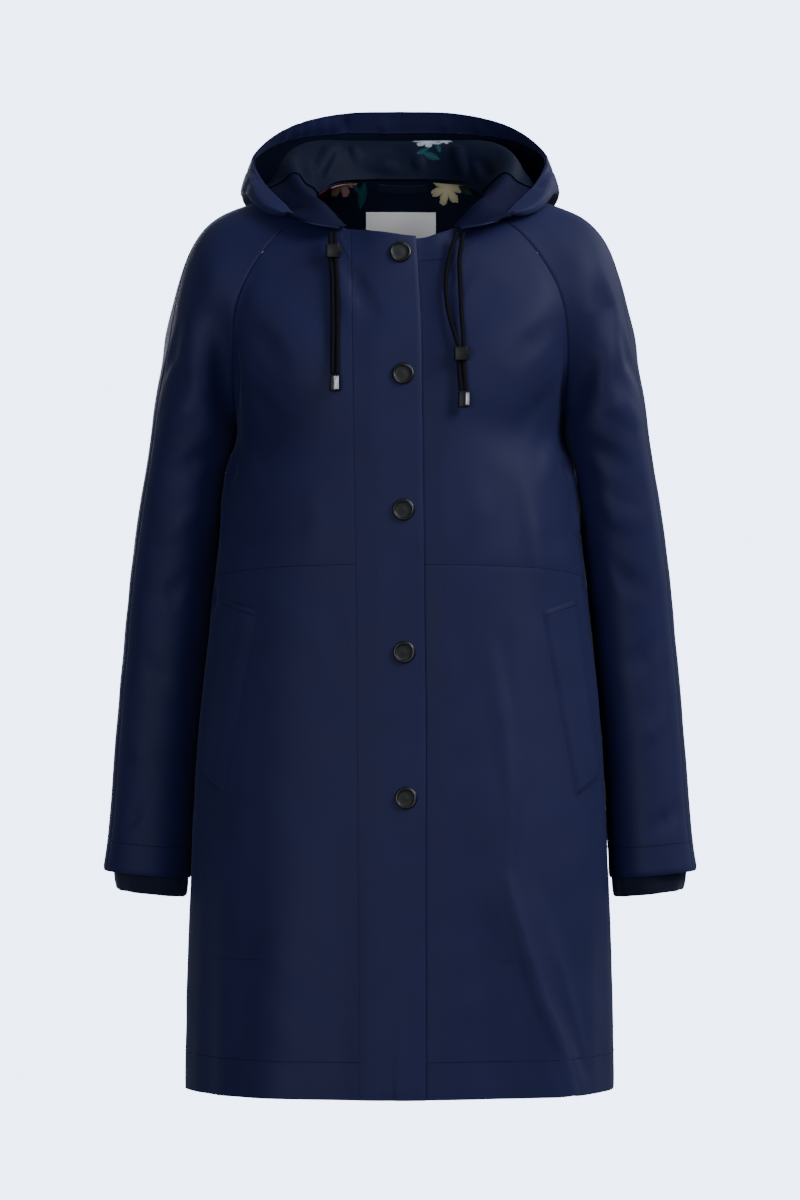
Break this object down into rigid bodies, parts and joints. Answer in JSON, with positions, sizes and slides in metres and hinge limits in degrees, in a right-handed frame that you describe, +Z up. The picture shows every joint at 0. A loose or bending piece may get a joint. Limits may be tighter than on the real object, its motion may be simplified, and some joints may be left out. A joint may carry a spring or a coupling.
{
  "type": "hooded raglan coat",
  "caption": "Filled-out hooded A-line coat with raglan sleeves, snap placket, slanted welt pockets, inner storm cuffs and draw cords at the hood.",
  "frame": {"origin": "middle of the neck at the height of the front neckline's sides, where the wearer carries the coat", "axes": "+Z up, +X towards the wearer's left, +Y towards the back"},
  "size_m": [0.5956, 0.3641, 0.9859],
  "materials": {
    "shell_cloth": "smooth bonded navy cloth",
    "lining_cloth": "dark navy printed lining",
    "storm_cuff_cloth": "matte stretch cloth",
    "label_cloth": "plain woven label",
    "snap_metal": "dark matte face in a dark gloss rim",
    "cord_braid": "braided black cord",
    "black_plastic": "satin black"
  },
  "bodies": {
    "root": {"back": "shell_cloth", "front_upper_right": "shell_cloth", "front_upper_left": "shell_cloth", "front_lower_right": "shell_cloth", "front_lower_left": "shell_cloth", "sleeve_front_right": "shell_cloth", "sleeve_front_left": "shell_cloth", "sleeve_back_right": "shell_cloth", "sleeve_back_left": "shell_cloth", "placket": "shell_cloth", "neck_lining": "lining_cloth", "hood_right": "shell_cloth", "hood_middle": "shell_cloth", "hood_left": "shell_cloth", "hood_facing": "shell_cloth", "hood_lining": "lining_cloth", "storm_cuff_right": "storm_cuff_cloth", "storm_cuff_left": "storm_cuff_cloth", "pocket_welt_right": "shell_cloth", "pocket_welt_left": "shell_cloth", "label": "label_cloth", "hanger_loop": "lining_cloth", "snap_1": "snap_metal", "snap_2": "snap_metal", "snap_3": "snap_metal", "snap_4": "snap_metal", "snap_5": "snap_metal", "cord_right_a": "cord_braid", "cord_right_b": "cord_braid", "cord_left_a": "cord_braid", "cord_left_b": "cord_braid", "cord_lock_right": "black_plastic", "cord_lock_left": "black_plastic", "cord_end_right": "black_plastic", "cord_end_left": "black_plastic"}
  },
  "joints": []
}
